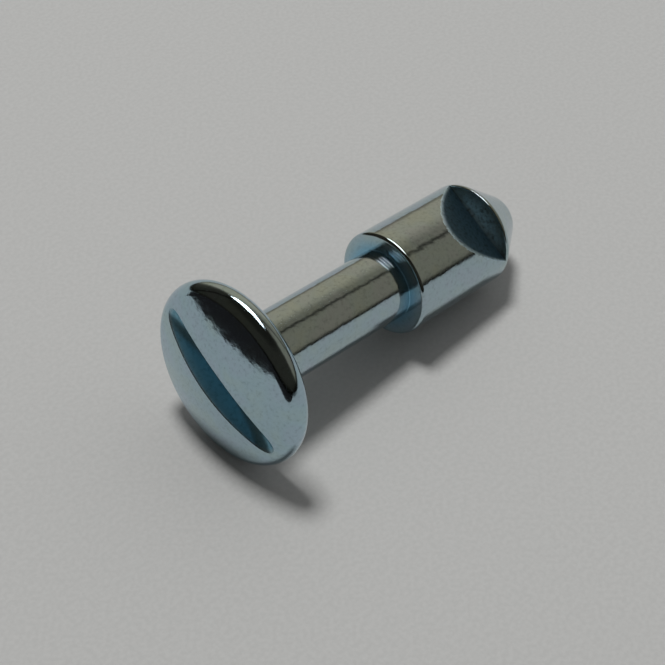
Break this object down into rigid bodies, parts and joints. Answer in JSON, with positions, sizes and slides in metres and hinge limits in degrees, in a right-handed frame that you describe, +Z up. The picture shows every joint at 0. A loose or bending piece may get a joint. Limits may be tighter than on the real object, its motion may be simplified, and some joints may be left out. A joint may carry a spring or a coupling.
{
  "type": "quarter-turn fastener stud",
  "caption": "Plated steel panel fastener stud with a slotted domed head, plain shank, thicker body with locking notches and a bullet nose, pushed in to lock and turned to release.",
  "frame": {"origin": "middle of the bounding box, on the table that the stud lies on", "axes": "+Z up from the table, +X along the lying stud from its head to its nose"},
  "size_m": [0.0356, 0.0162, 0.0161],
  "materials": {
    "plated_steel": "bright zinc plate with a blue tint, glossy"
  },
  "bodies": {
    "root": {"stud": "plated_steel"}
  },
  "joints": []
}
